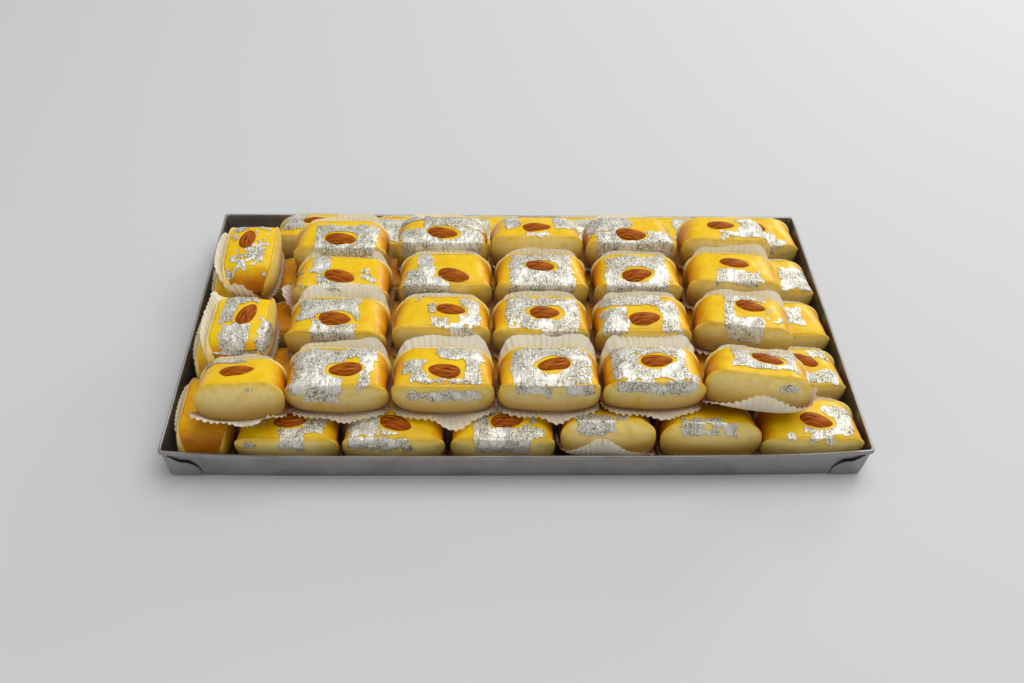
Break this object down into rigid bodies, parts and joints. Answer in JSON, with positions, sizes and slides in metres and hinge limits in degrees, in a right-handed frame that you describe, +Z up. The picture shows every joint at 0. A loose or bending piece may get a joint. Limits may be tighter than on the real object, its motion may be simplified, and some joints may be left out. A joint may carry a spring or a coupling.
{
  "type": "tray of malai sandwich sweets",
  "caption": "Steel tray heaped with almond-topped malai sandwiches in fluted paper cases, with torn silver leaf on top.",
  "frame": {"origin": "middle of the tray's underside", "axes": "+X along the tray to the right, +Y to the back, +Z up"},
  "size_m": [0.43, 0.237, 0.0647],
  "materials": {
    "steel": "rolled stainless sheet, lightly scuffed",
    "sweet": "moist and soft, cream coloured with a saffron yellow top",
    "chhena": "moist poached milk curd, satin",
    "malai": "smooth saffron cream, glossy",
    "silver_leaf": "crinkled beaten silver leaf, torn at the edges",
    "almond_skin": "ridged dry skin",
    "case_paper": "thin greaseproof paper, fluted and slightly see-through"
  },
  "bodies": {
    "root": {"tray": "steel", "lower_e0": "sweet", "lower_e1": "sweet", "lower_e2": "sweet", "lower_e3": "sweet", "lower_e4": "sweet", "lower_e5": "sweet", "lower_e6": "sweet", "lower_f0": "sweet", "lower_f1": "sweet", "lower_f2": "sweet", "lower_f3": "sweet", "lower_f4": "sweet", "lower_f5": "sweet", "lower_f6": "sweet", "lower_g0": "sweet", "lower_g1": "sweet", "lower_g2": "sweet", "lower_g3": "sweet", "lower_g4": "sweet", "lower_g5": "sweet", "lower_g6": "sweet", "lower_h1": "sweet", "lower_h2": "sweet", "lower_h3": "sweet", "lower_h4": "sweet", "lower_h5": "sweet", "lower_h6": "sweet", "lower_i1": "sweet", "lower_i2": "sweet", "lower_i3": "sweet", "lower_i4": "sweet", "lower_i5": "sweet", "lower_i6": "sweet", "upper_a0": "sweet", "upper_a1": "sweet", "upper_a2": "sweet", "upper_a3": "sweet", "upper_a4": "sweet", "upper_a5": "sweet", "upper_b0": "sweet", "upper_b1": "sweet", "upper_b2": "sweet", "upper_b3": "sweet", "upper_b4": "sweet", "upper_b5": "sweet", "upper_c0": "sweet", "upper_c1": "sweet", "upper_c2": "sweet", "upper_c3": "sweet", "upper_c4": "sweet", "upper_c5": "sweet", "upper_d1": "sweet", "upper_d2": "sweet", "upper_d3": "sweet", "upper_d4": "sweet", "upper_d5": "sweet"}
  },
  "joints": []
}
